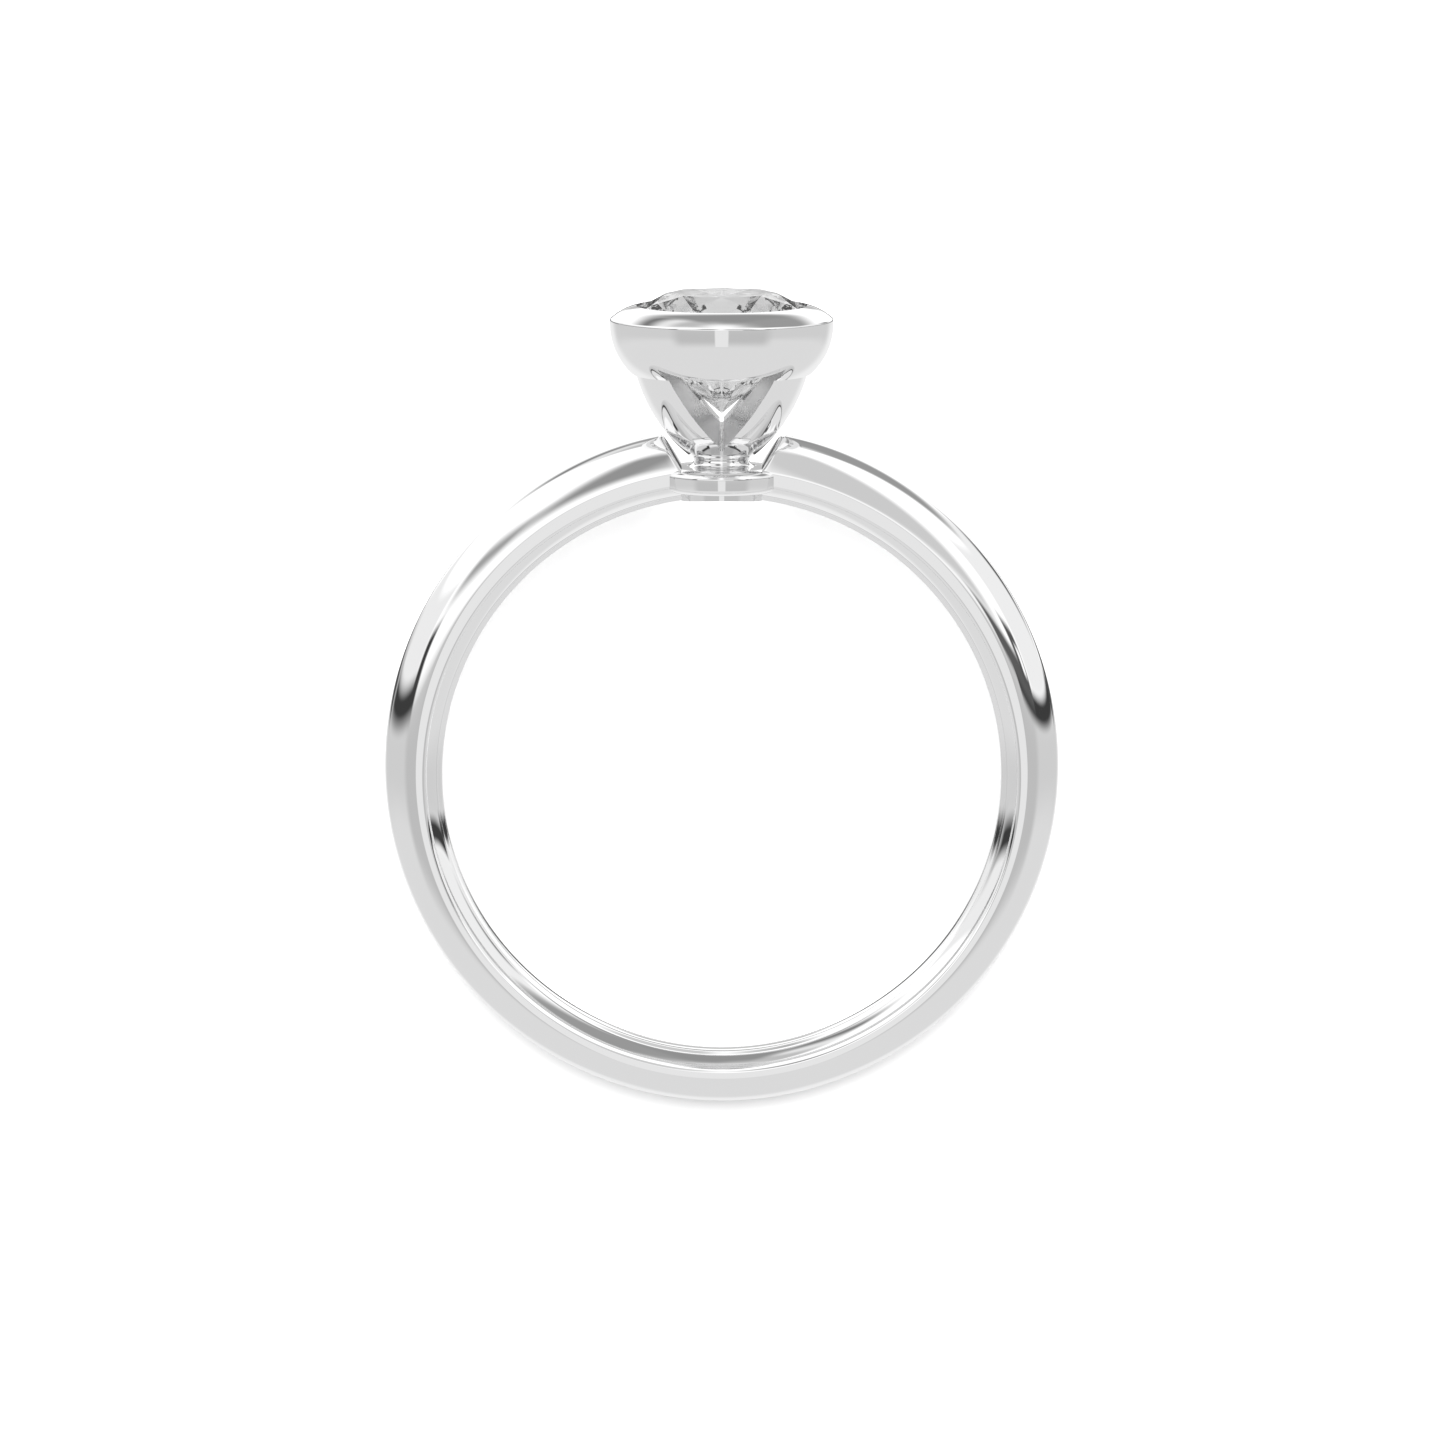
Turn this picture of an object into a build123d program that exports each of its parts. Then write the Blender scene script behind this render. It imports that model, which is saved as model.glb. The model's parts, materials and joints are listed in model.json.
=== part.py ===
from build123d import *
import os
from math import asin, atan2, cos, hypot, pi, radians, sin, tan

# A bezel set solitaire ring, lying on its side as it rests when it is put down.
# Everything is in millimetres. +Z is up, +X runs across the ring, and the head points along +Y.
# The ring's own directions are head, from the finger's axis to the stone, and side, along the
# finger.

# Finger hole and the inside of the shank
hole_diameter = 16.5
land_width = 0.6
rib_height = 0.14
rib_edge_width = 0.08
flank_rise = 0.51

# Shank
shank_width = 2.0
thickness_at_base = 1.55
thickness_at_shoulder = 2.0
facet_at_base = 0.19
facet_at_shoulder = 0.39
swell_power = 1.65
shank_sections = 13
shank_joint_angle = 4.0
blank_depth = 0.5

# Notch between the shank's ends
notch_gap = 0.35
notch_angle = 31.0
end_rounding = 0.22

# Collar under the basket, with heights measured from the wall of the finger hole
collar_radius = 1.82
collar_top_rise = 0.9
collar_foot_rise = 0.61
collar_edge_rounding = 0.16
pad_radius = 1.25
pad_rise = 0.15

# Basket
waist_radius = 0.82
waist_above_collar = 0.21
basket_bulge = 0.249
basket_ledge = 0.103

# Stone: a round brilliant
stone_diameter = 5.9
table_diameter = 3.206
crown_angle = 34.5
pavilion_angle = 40.75
girdle_thickness = 0.08
star_length = 0.5
lower_half_length = 0.77
main_facets = 8
culet_rise = 2.46

# Seat for the stone, and the hollow below it
stone_gap = 0.04
hollow_floor_radius = 0.33
hollow_floor_drop = 0.41
hollow_rim_radius = 2.15
hollow_bulge = 0.11

# Bezel cup, with its wall upright down to the stone's girdle, and heights measured from there
bezel_wall = 0.288
cup_inset = 0.658
cup_drop = 1.455
rim_above_girdle = 0.215
rim_rounding = 0.07
lip_cover = 0.65
lip_edge = 0.015
lip_crown = 0.07

# Windows in the front and back of the basket
window_root_rise = 0.227
window_slope = 41.0
window_half_angle = 37.3
window_height = 2.45
window_root_rounding = 0.1

# Shank sizes that follow from those above
hole_radius = hole_diameter / 2
side_radius = hole_radius + flank_rise
half_width = shank_width / 2
blank_radius = hole_radius - blank_depth
edge_radius_at_base = side_radius + facet_at_base
crest_radius_at_base = hole_radius + thickness_at_base

# Heights and radii in the setting that follow, from the finger's axis and the head's axis
collar_top = hole_radius + collar_top_rise
collar_foot = hole_radius + collar_foot_rise
pad_shoulder = hole_radius + pad_rise
waist_height = collar_top + waist_above_collar
culet_height = hole_radius + culet_rise
stone_radius = stone_diameter / 2
table_radius = table_diameter / 2
crown_slope = tan(radians(crown_angle))
pavilion_slope = tan(radians(pavilion_angle))
girdle_foot = culet_height + stone_radius * pavilion_slope
girdle_top = girdle_foot + girdle_thickness
table_height = girdle_top + (stone_radius - table_radius) * crown_slope
cup_radius = stone_radius + stone_gap + bezel_wall
cup_foot_height = girdle_top - cup_drop
cup_foot_radius = cup_radius - cup_inset
rim_height = girdle_top + rim_above_girdle
lip_radius = stone_radius - lip_cover

# Facets of the stone: the crown's ridges run from the star facets' tips to the girdle
main_turn = 360 / main_facets
half_turn = main_turn / 2
table_flat = table_radius * cos(radians(half_turn))
star_reach = table_flat + star_length * (stone_radius - table_flat)
star_height = table_height - (star_reach * cos(radians(half_turn)) - table_radius) * crown_slope
ridge_slope = (star_height - girdle_top) / (stone_radius - star_reach)
lower_reach = stone_radius * (1 - lower_half_length)
lower_height = culet_height + lower_reach * cos(radians(half_turn)) * pavilion_slope

# The seat keeps the gap to the pavilion and to the crown's ridges
seat_radius = stone_radius + stone_gap
pavilion_gap = stone_gap * hypot(1, pavilion_slope)
crown_gap = stone_gap * hypot(1, ridge_slope)
lip_underside = girdle_top + lip_cover * ridge_slope + crown_gap
lip_height = lip_underside + lip_edge

# The cup's lower wall is an arc that starts upright at the girdle's height
cup_arc = (cup_drop**2 + cup_inset**2) / (2 * cup_inset)

# The ring lies on the edge of its shank opposite the head and on the arc of its cup
reach = girdle_top + edge_radius_at_base
rise = cup_radius - cup_arc - half_width
lean = atan2(rise, reach) + asin(cup_arc / hypot(reach, rise))
across = Vector(1, 0, 0)
head = Vector(0, cos(lean), sin(lean))
side = Vector(0, -sin(lean), cos(lean))

# The origin lies on the floor, under the middle of the ring's box
dome_rise = crest_radius_at_base - edge_radius_at_base
dome_arc = (half_width**2 + dome_rise**2) / (2 * dome_rise)
base_end = (crest_radius_at_base - dome_arc) * cos(lean) + dome_arc
table_end = table_height * cos(lean) + table_radius * sin(lean)
floor_height = half_width * cos(lean) + edge_radius_at_base * sin(lean)
centre = Vector(0, (base_end - table_end) / 2, floor_height)

face_plane = Plane(origin=centre, x_dir=across, z_dir=side)
head_axis = Axis(centre, head)
finger_axis = Axis(centre, side)


def swell(angle):
    """Share of the way from the shank's base to its shoulders, by the angle in radians."""
    return ((1 + sin(angle)) / 2) ** swell_power


def crest_radius(angle):
    """Radius of the shank's outer crest."""
    growth = (thickness_at_shoulder - thickness_at_base) * swell(angle)
    return hole_radius + thickness_at_base + growth


def edge_radius(angle):
    """Radius of the outer edge of the shank's flat side facet."""
    growth = (facet_at_shoulder - facet_at_base) * swell(angle)
    return side_radius + facet_at_base + growth


def section_plane(angle):
    """Plane across the shank, with its x direction pointing away from the finger's axis."""
    outward = across * cos(angle) + head * sin(angle)
    return Plane(origin=centre, x_dir=outward, z_dir=outward.cross(side))


def head_plane(height):
    """Plane square to the head's axis."""
    return Plane(origin=centre + head * height, x_dir=across, z_dir=head)


def head_point(radius, height, turn):
    """A point about the head's axis, by its radius, height and angle in degrees."""
    level = across * cos(radians(turn)) + side * sin(radians(turn))
    return centre + level * radius + head * height


def facet_plane(first, second, third):
    """Plane of a facet through three points, facing out of the stone."""
    middle = head_point(0, girdle_foot, 0)
    normal = (second - first).cross(third - first).normalized()
    if normal.dot(first - middle) < 0:
        normal = normal * -1
    return Plane(origin=first, z_dir=normal)


# Cutter for the windows: three-sided prisms that run down and outwards from a point above the
# culet, with their roots rounded
slope = radians(window_slope)
start = centre + head * (culet_height + window_root_rise)
window_half_width = window_height * tan(radians(window_half_angle))

with BuildPart() as window_cutter:
    for outward in (side, side * -1):
        run = outward * cos(slope) - head * sin(slope)
        up = outward * sin(slope) + head * cos(slope)
        with BuildSketch(Plane(origin=start, x_dir=up.cross(run), z_dir=run)):
            with BuildLine() as outline:
                Polyline(
                    (0, 0),
                    (window_half_width, window_height),
                    (-window_half_width, window_height),
                    close=True,
                )
            make_face()
            fillet(outline.vertices().sort_by(Axis.Y)[0], radius=window_root_rounding)
        extrude(amount=cup_radius / cos(slope))

# Basket and bezel cup
with BuildPart() as basket:
    # Both are turned in one profile
    basket_top_radius = cup_foot_radius - basket_ledge
    cup_middle_angle = asin(cup_drop / cup_arc) / 2
    cup_middle = (
        cup_radius - cup_arc * (1 - cos(cup_middle_angle)),
        girdle_top - cup_arc * sin(cup_middle_angle),
    )
    rim_edge = cup_radius - rim_rounding
    lip_middle = ((rim_edge + lip_radius) / 2, (rim_height + lip_height) / 2 + lip_crown)
    with BuildSketch(face_plane):
        with BuildLine():
            Polyline((0, pad_shoulder), (waist_radius, pad_shoulder), (waist_radius, waist_height))
            SagittaArc((waist_radius, waist_height), (basket_top_radius, cup_foot_height), -basket_bulge)
            Line((basket_top_radius, cup_foot_height), (cup_foot_radius, cup_foot_height))
            ThreePointArc((cup_foot_radius, cup_foot_height), cup_middle, (cup_radius, girdle_top))
            Polyline(
                (cup_radius, girdle_top),
                (cup_radius, rim_height - rim_rounding),
                (rim_edge, rim_height),
            )
            ThreePointArc((rim_edge, rim_height), lip_middle, (lip_radius, lip_height))
            Polyline((lip_radius, lip_height), (0, lip_height), (0, pad_shoulder))
        make_face()
    revolve(axis=head_axis)

    # Seat for the stone, open at the lip, with a bowl-shaped hollow round the culet
    hollow_floor = culet_height - hollow_floor_drop
    hollow_rim = culet_height + hollow_rim_radius * pavilion_slope - pavilion_gap
    with BuildSketch(face_plane):
        with BuildLine():
            Line((0, hollow_floor), (hollow_floor_radius, hollow_floor))
            SagittaArc(
                (hollow_floor_radius, hollow_floor),
                (hollow_rim_radius, hollow_rim),
                -hollow_bulge,
            )
            Polyline(
                (hollow_rim_radius, hollow_rim),
                (seat_radius, culet_height + seat_radius * pavilion_slope - pavilion_gap),
                (seat_radius, girdle_top - stone_gap * ridge_slope + crown_gap),
                (lip_radius, lip_underside),
                (lip_radius, table_height),
                (0, table_height),
                (0, hollow_floor),
            )
        make_face()
    revolve(axis=head_axis, mode=Mode.SUBTRACT)

    add(window_cutter.part, mode=Mode.SUBTRACT)

# Soldered metal: shank, collar, basket and bezel are one solid
first_angle = pi / 2 - radians(shank_joint_angle)
whole_turn = 2 * pi - 2 * radians(shank_joint_angle)

with BuildPart() as ring_mount:
    # Shank, lofted all the way round through sections that swell towards the shoulders
    for number in range(shank_sections):
        angle = first_angle - whole_turn * number / (shank_sections - 1)
        with BuildSketch(section_plane(angle)):
            with BuildLine():
                ThreePointArc(
                    (edge_radius(angle), -half_width),
                    (crest_radius(angle), 0),
                    (edge_radius(angle), half_width),
                )
                Polyline(
                    (edge_radius(angle), half_width),
                    (blank_radius, half_width),
                    (blank_radius, -half_width),
                    (edge_radius(angle), -half_width),
                )
            make_face()
    loft()

    # Inside of the shank: a raised rib in the middle, and flanks that fall away to both sides
    step_radius = hole_radius + rib_height
    step_half_width = land_width / 2 + rib_edge_width
    flank_slope = (side_radius - step_radius) / (half_width - step_half_width)
    mouth_radius = step_radius + (shank_width - step_half_width) * flank_slope
    with BuildSketch(section_plane(pi / 2)):
        with BuildLine():
            Polyline(
                (0, -shank_width),
                (mouth_radius, -shank_width),
                (step_radius, -step_half_width),
                (hole_radius - rib_height, rib_edge_width - land_width / 2),
                (hole_radius - rib_height, land_width / 2 - rib_edge_width),
                (step_radius, step_half_width),
                (mouth_radius, shank_width),
                (0, shank_width),
                close=True,
            )
        make_face()
    revolve(axis=finger_axis, mode=Mode.SUBTRACT)

    # Notch that clears the basket, with slanted and rounded ends to the shank
    notch_foot = waist_radius + notch_gap
    notch_mouth = notch_foot + (rim_height - collar_top) * tan(radians(notch_angle))
    with BuildSketch(face_plane):
        with BuildLine():
            Polyline(
                (-notch_foot, collar_top),
                (notch_foot, collar_top),
                (notch_mouth, rim_height),
                (-notch_mouth, rim_height),
                close=True,
            )
        make_face()
    extrude(amount=shank_width, both=True, mode=Mode.SUBTRACT)

    # The dome is rounded off where it meets the two end faces
    end_edges = edges(Select.LAST).filter_by(GeomType.BSPLINE).sort_by(SortBy.LENGTH)[-2:]
    fillet(end_edges, radius=end_rounding)

    # Collar: a puck with a rounded underside on a pad that reaches the finger hole
    under_middle = (
        pad_radius + (collar_radius - pad_radius) * sin(pi / 4),
        collar_foot - (collar_foot - pad_shoulder) * cos(pi / 4),
    )
    edge_middle = (
        collar_radius - collar_edge_rounding * (1 - cos(pi / 4)),
        collar_top - collar_edge_rounding * (1 - sin(pi / 4)),
    )
    with BuildSketch(face_plane):
        with BuildLine():
            Polyline((0, blank_radius), (pad_radius, blank_radius), (pad_radius, pad_shoulder))
            ThreePointArc((pad_radius, pad_shoulder), under_middle, (collar_radius, collar_foot))
            Line((collar_radius, collar_foot), (collar_radius, collar_top - collar_edge_rounding))
            ThreePointArc(
                (collar_radius, collar_top - collar_edge_rounding),
                edge_middle,
                (collar_radius - collar_edge_rounding, collar_top),
            )
            Polyline(
                (collar_radius - collar_edge_rounding, collar_top),
                (0, collar_top),
                (0, blank_radius),
            )
        make_face()
    revolve(axis=head_axis)

    # Finger hole, through the rib and the pad
    with BuildSketch(face_plane):
        Circle(hole_radius)
    extrude(amount=collar_radius, both=True, mode=Mode.SUBTRACT)

    add(basket.part)

# Round brilliant, cut from a blank facet by facet
with BuildPart() as centre_stone:
    with BuildSketch(head_plane(culet_height)):
        Circle(stone_radius)
    extrude(amount=table_height - culet_height)
    for number in range(main_facets):
        turn = main_turn * number
        table_corner = head_point(table_radius, table_height, turn)
        crown_tip = head_point(stone_radius, girdle_top, turn)
        pavilion_tip = head_point(stone_radius, girdle_foot, turn)
        culet = head_point(0, culet_height, turn)
        level = table_corner - head_point(table_radius, table_height, turn + 180)
        sideways = head.cross(level)
        split(bisect_by=facet_plane(table_corner, crown_tip, table_corner + sideways), keep=Keep.BOTTOM)
        split(bisect_by=facet_plane(culet, pavilion_tip, culet + sideways), keep=Keep.BOTTOM)
        star_tip = head_point(star_reach, star_height, turn + half_turn)
        next_corner = head_point(table_radius, table_height, turn + main_turn)
        split(bisect_by=facet_plane(table_corner, next_corner, star_tip), keep=Keep.BOTTOM)
        for way in (-1, 1):
            star = head_point(star_reach, star_height, turn + way * half_turn)
            crown_break = head_point(stone_radius, girdle_top, turn + way * half_turn)
            split(bisect_by=facet_plane(star, crown_tip, crown_break), keep=Keep.BOTTOM)
            lower = head_point(lower_reach, lower_height, turn + way * half_turn)
            pavilion_break = head_point(stone_radius, girdle_foot, turn + way * half_turn)
            split(bisect_by=facet_plane(lower, pavilion_tip, pavilion_break), keep=Keep.BOTTOM)

ring_mount.part.label = "ring_mount"
centre_stone.part.label = "centre_stone"

os.makedirs("parts", exist_ok=True)
export_step(ring_mount.part, "parts/ring_mount.step")
export_step(centre_stone.part, "parts/centre_stone.step")
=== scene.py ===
"""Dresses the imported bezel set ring: polished shank, collar, basket, bezel cup and stone, in a white studio.

Sizes of the ring are in millimetres in the ring's own directions: across, head (from the finger's axis to
the stone) and side (along the finger). The finished meshes are turned into the row frame, in metres.
"""

import json
import logging
from dataclasses import dataclass, field
from enum import Enum
from math import acos, asin, atan2, cos, hypot, pi, radians, sin, sqrt, tan

import bmesh
import bpy
from mathutils import Matrix, Vector

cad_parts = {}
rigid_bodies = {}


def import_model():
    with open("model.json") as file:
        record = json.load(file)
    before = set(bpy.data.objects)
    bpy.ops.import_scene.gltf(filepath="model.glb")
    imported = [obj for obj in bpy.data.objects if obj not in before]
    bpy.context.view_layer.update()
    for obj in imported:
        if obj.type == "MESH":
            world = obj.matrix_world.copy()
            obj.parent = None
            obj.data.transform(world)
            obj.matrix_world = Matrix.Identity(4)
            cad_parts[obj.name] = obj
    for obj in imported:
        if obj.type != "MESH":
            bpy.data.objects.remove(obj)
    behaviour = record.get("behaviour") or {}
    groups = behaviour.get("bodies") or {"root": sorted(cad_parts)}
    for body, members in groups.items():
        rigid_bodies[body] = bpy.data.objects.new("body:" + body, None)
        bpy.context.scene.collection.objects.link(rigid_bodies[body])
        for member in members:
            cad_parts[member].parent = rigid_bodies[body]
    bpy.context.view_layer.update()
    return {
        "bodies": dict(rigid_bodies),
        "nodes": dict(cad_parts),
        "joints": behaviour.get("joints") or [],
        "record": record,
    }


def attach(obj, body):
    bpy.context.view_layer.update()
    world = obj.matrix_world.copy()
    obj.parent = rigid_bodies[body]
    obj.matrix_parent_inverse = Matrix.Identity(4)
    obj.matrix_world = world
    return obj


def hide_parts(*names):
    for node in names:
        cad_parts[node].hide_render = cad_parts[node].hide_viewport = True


LOG = logging.getLogger("bezel_ring")
MM = 0.001
IMAGE_SIZE = 1445
ON_AXIS = 1e-6  # a radius under this is a pole
SAME_POINT = 1e-5  # points closer than this are merged

Point = tuple[float, float]
Value = float | bpy.types.NodeSocket


class MetalSlot(Enum):
    """The record's material slots."""

    METAL = "white_gold"
    STONE = "diamond"


@dataclass(frozen=True)
class RingFrame:
    """The ring's own directions in the row frame, with the middle of the finger hole as their origin."""

    centre: Vector
    side: Vector

    @classmethod
    def from_record(cls, record: dict) -> "RingFrame":
        """Reads the place and direction of the finger hole.

        Args:
            record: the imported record.

        Returns:
            The ring's frame.
        """
        mount = record["mounts"][0]
        axis = Vector(mount["axis"]).normalized()
        return cls(Vector(mount["pos_m"]), axis if axis.z > 0 else -axis)

    @property
    def across(self) -> Vector:
        """Direction across the ring.

        Returns:
            A unit vector in the row frame.
        """
        return Vector((1, 0, 0))

    @property
    def head(self) -> Vector:
        """Direction from the finger's axis to the stone.

        Returns:
            A unit vector in the row frame.
        """
        return self.side.cross(self.across)

    def turn(self) -> Matrix:
        """Rotation from the ring's directions to the row frame.

        Returns:
            A 3 by 3 matrix.
        """
        return Matrix((self.across, self.head, self.side)).transposed()

    def placement(self) -> Matrix:
        """Takes millimetres in the ring's directions to metres in the row frame.

        Returns:
            A 4 by 4 matrix.
        """
        return Matrix.Translation(self.centre) @ self.turn().to_4x4() @ Matrix.Scale(MM, 4)

    def point(self, across: float, head: float, side: float) -> Vector:
        """Finds the place of a point of the ring.

        Args:
            across: millimetres across the ring.
            head: millimetres from the finger's axis towards the stone.
            side: millimetres along the finger.

        Returns:
            The point in metres in the row frame.
        """
        return self.placement() @ Vector((across, head, side))


class NodeSketch:
    """Adds nodes to a tree and links them, so that a tree can be written as sums and calls."""

    def __init__(self, tree: bpy.types.NodeTree) -> None:
        """Keeps the tree.

        Args:
            tree: the tree that the nodes go into.
        """
        self.tree = tree

    def add(self, kind: str, inputs: dict | None = None, **settings: object) -> bpy.types.Node:
        """Adds a node.

        Args:
            kind: the node's type name.
            inputs: values or sockets for its inputs, by name or number.
            settings: the node's own properties.

        Returns:
            The new node.
        """
        node = self.tree.nodes.new(kind)
        for name, value in settings.items():
            setattr(node, name, value)
        for key, value in (inputs or {}).items():
            self.feed(node.inputs[key], value)
        return node

    def feed(self, socket: bpy.types.NodeSocket, value: object) -> None:
        """Links or sets an input.

        Args:
            socket: the input.
            value: a socket to link or a plain value.
        """
        if isinstance(value, bpy.types.NodeSocket):
            self.tree.links.new(value, socket)
        else:
            socket.default_value = value

    def math(self, operation: str, *values: Value, clamp: bool = False) -> bpy.types.NodeSocket:
        """Adds a Math node.

        Args:
            operation: the node's operation.
            values: its inputs, in order.
            clamp: whether the result is kept from 0 to 1.

        Returns:
            The node's output.
        """
        inputs = dict(enumerate(values))
        return self.add("ShaderNodeMath", inputs, operation=operation, use_clamp=clamp).outputs[0]

    def vector_math(self, operation: str, *values: object, output: int = 0) -> bpy.types.NodeSocket:
        """Adds a Vector Math node.

        Args:
            operation: the node's operation.
            values: its inputs, in order.
            output: number of the output that is wanted.

        Returns:
            That output.
        """
        node = self.add("ShaderNodeVectorMath", dict(enumerate(values)), operation=operation)
        return node.outputs[output]

    def ramp(self, value: Value, low: float, high: float) -> bpy.types.NodeSocket:
        """Adds a smooth step.

        Args:
            value: what is stepped.
            low: where the result is 0; it may be the larger of the two.
            high: where the result is 1.

        Returns:
            The step's output.
        """
        inputs = {"Value": value, "From Min": low, "From Max": high}
        return self.add("ShaderNodeMapRange", inputs, interpolation_type="SMOOTHSTEP").outputs[0]


@dataclass(frozen=True)
class PolishedMetal:
    """Mirror polished white gold."""

    name: str = "polished_white_gold"
    colour: tuple[float, float, float] = (0.87, 0.87, 0.872)
    roughness: float = 0.03
    roughness_swing: float = 0.4
    polish_scale: float = 900.0
    polish_detail: float = 3.0

    def material(self) -> bpy.types.Material:
        """Makes the node material, whose roughness varies a little as hand polish does.

        Returns:
            The material.
        """
        material = bpy.data.materials.new(self.name)
        material.use_nodes = True
        sketch = NodeSketch(material.node_tree)
        shader = material.node_tree.nodes["Principled BSDF"]
        shader.inputs["Metallic"].default_value = 1.0
        shader.inputs["Base Color"].default_value = (*self.colour, 1)
        place = sketch.add("ShaderNodeTexCoord").outputs["Object"]
        noise = {"Vector": place, "Scale": self.polish_scale, "Detail": self.polish_detail}
        spread = {
            "Value": sketch.add("ShaderNodeTexNoise", noise).outputs["Fac"],
            "To Min": self.roughness * (1 - self.roughness_swing),
            "To Max": self.roughness * (1 + self.roughness_swing),
        }
        sketch.feed(shader.inputs["Roughness"], sketch.add("ShaderNodeMapRange", spread).outputs[0])
        return material


@dataclass(frozen=True)
class CutDiamond:
    """Colourless diamond."""

    name: str = "cut_diamond"
    index: float = 2.417
    highest_roughness: float = 0.004
    polish_scale: float = 1500.0

    def material(self) -> bpy.types.Material:
        """Makes the node material.

        Returns:
            The material.
        """
        material = bpy.data.materials.new(self.name)
        material.use_nodes = True
        sketch = NodeSketch(material.node_tree)
        shader = material.node_tree.nodes["Principled BSDF"]
        shader.inputs["Transmission Weight"].default_value = 1.0
        shader.inputs["IOR"].default_value = self.index
        shader.inputs["Base Color"].default_value = (1, 1, 1, 1)
        place = sketch.add("ShaderNodeTexCoord").outputs["Object"]
        polish = sketch.add("ShaderNodeTexNoise", {"Vector": place, "Scale": self.polish_scale})
        spread = {"Value": polish.outputs["Fac"], "To Min": 0.0, "To Max": self.highest_roughness}
        sketch.feed(shader.inputs["Roughness"], sketch.add("ShaderNodeMapRange", spread).outputs[0])
        return material


def finish_mesh(
    name: str, mesh: bpy.types.Mesh, frame: RingFrame, material: bpy.types.Material
) -> bpy.types.Object:
    """Takes a mesh in the ring's millimetres to the row frame and puts it in the scene.

    Args:
        name: the piece's name.
        mesh: its mesh.
        frame: the ring's frame.
        material: its main material.

    Returns:
        The piece, at the origin, with its place in its mesh.
    """
    mesh.transform(frame.placement())
    mesh.materials.clear()
    mesh.materials.append(material)
    mesh.update()
    piece = bpy.data.objects.new(name, mesh)
    bpy.context.scene.collection.objects.link(piece)
    return piece


def mesh_of(name: str, vertices: list, faces: list) -> bpy.types.Mesh:
    """Makes a mesh from lists.

    Args:
        name: the mesh's name.
        vertices: its points.
        faces: the vertex numbers of each face.

    Returns:
        The mesh.
    """
    mesh = bpy.data.meshes.new(name)
    mesh.from_pydata(vertices, [], faces)
    mesh.validate()
    mesh.update()
    return mesh


def arc(centre: Point, radius: float, start: float, end: float, steps: int) -> list[Point]:
    """Points along an arc.

    Args:
        centre: its centre.
        radius: its radius.
        start: first angle in radians.
        end: last angle in radians.
        steps: number of spans.

    Returns:
        The points, both ends included.
    """
    angles = [start + (end - start) * k / steps for k in range(steps + 1)]
    return [(centre[0] + radius * cos(a), centre[1] + radius * sin(a)) for a in angles]


def bulged(start: Point, end: Point, bulge: float, steps: int) -> list[Point]:
    """Points along an arc between two points.

    Args:
        start: first point.
        end: last point.
        bulge: how far the arc's middle stands to the right of the chord.
        steps: number of spans.

    Returns:
        The points, both ends included.
    """
    chord = hypot(end[0] - start[0], end[1] - start[1])
    radius = (chord * chord / 4 + bulge * bulge) / (2 * abs(bulge))
    right = ((end[1] - start[1]) / chord, (start[0] - end[0]) / chord)
    offset = (radius - abs(bulge)) * (1 if bulge > 0 else -1)
    centre = ((start[0] + end[0]) / 2 - right[0] * offset, (start[1] + end[1]) / 2 - right[1] * offset)
    first = atan2(start[1] - centre[1], start[0] - centre[0])
    last = atan2(end[1] - centre[1], end[0] - centre[0])
    if last - first > pi:
        last -= 2 * pi
    if first - last > pi:
        last += 2 * pi
    return arc(centre, radius, first, last, steps)


def rounded(points: list[Point], radius: float, steps: int, closed: bool = False) -> list[Point]:
    """Rounds every inner corner of a line of points.

    Args:
        points: the line.
        radius: the corner radius, cut down where a side is too short.
        steps: number of spans in each corner.
        closed: whether the line is a loop.

    Returns:
        The rounded line.
    """
    made: list[Point] = []
    count = len(points)
    for k, here in enumerate(points):
        if not closed and k in (0, count - 1):
            made.append(here)
            continue
        before, after = Vector(points[k - 1]), Vector(points[(k + 1) % count])
        corner = Vector(here)
        back, on = (before - corner), (after - corner)
        reach = min(radius, back.length * 0.45, on.length * 0.45)
        first, last = corner + back.normalized() * reach, corner + on.normalized() * reach
        for step in range(steps + 1):
            t = step / steps
            made.append(tuple(first.lerp(corner, t).lerp(corner.lerp(last, t), t)))
    return made


def turned(name: str, profile: list[Point], steps: int) -> bpy.types.Mesh:
    """Turns a profile about the head's axis.

    Args:
        name: the mesh's name.
        profile: radius and height of each point, starting and ending on the axis.
        steps: number of spans round the axis.

    Returns:
        A closed mesh whose faces point outwards.
    """
    made = bmesh.new()
    rings = []
    for radius, height in profile:
        if radius < ON_AXIS:
            rings.append([made.verts.new((0, height, 0))])
            continue
        angles = [2 * pi * k / steps for k in range(steps)]
        rings.append([made.verts.new((radius * cos(a), height, radius * sin(a))) for a in angles])
    for low, high in zip(rings, rings[1:]):
        for k in range(steps):
            nxt = (k + 1) % steps
            corners = [low[k % len(low)], low[nxt % len(low)], high[nxt % len(high)], high[k % len(high)]]
            made.faces.new(list(dict.fromkeys(corners)))
    bmesh.ops.recalc_face_normals(made, faces=made.faces)
    mesh = bpy.data.meshes.new(name)
    made.to_mesh(mesh)
    made.free()
    return mesh


def shade(mesh: bpy.types.Mesh, crease: float) -> None:
    """Shades a mesh smooth but for its sharp edges.

    Args:
        mesh: the mesh, changed in place.
        crease: the angle in degrees past which an edge is sharp.
    """
    made = bmesh.new()
    made.from_mesh(mesh)
    for face in made.faces:
        face.smooth = True
    for edge in made.edges:
        edge.smooth = len(edge.link_faces) == 2 and edge.calc_face_angle(0) < radians(crease)
    made.to_mesh(mesh)
    made.free()


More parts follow.
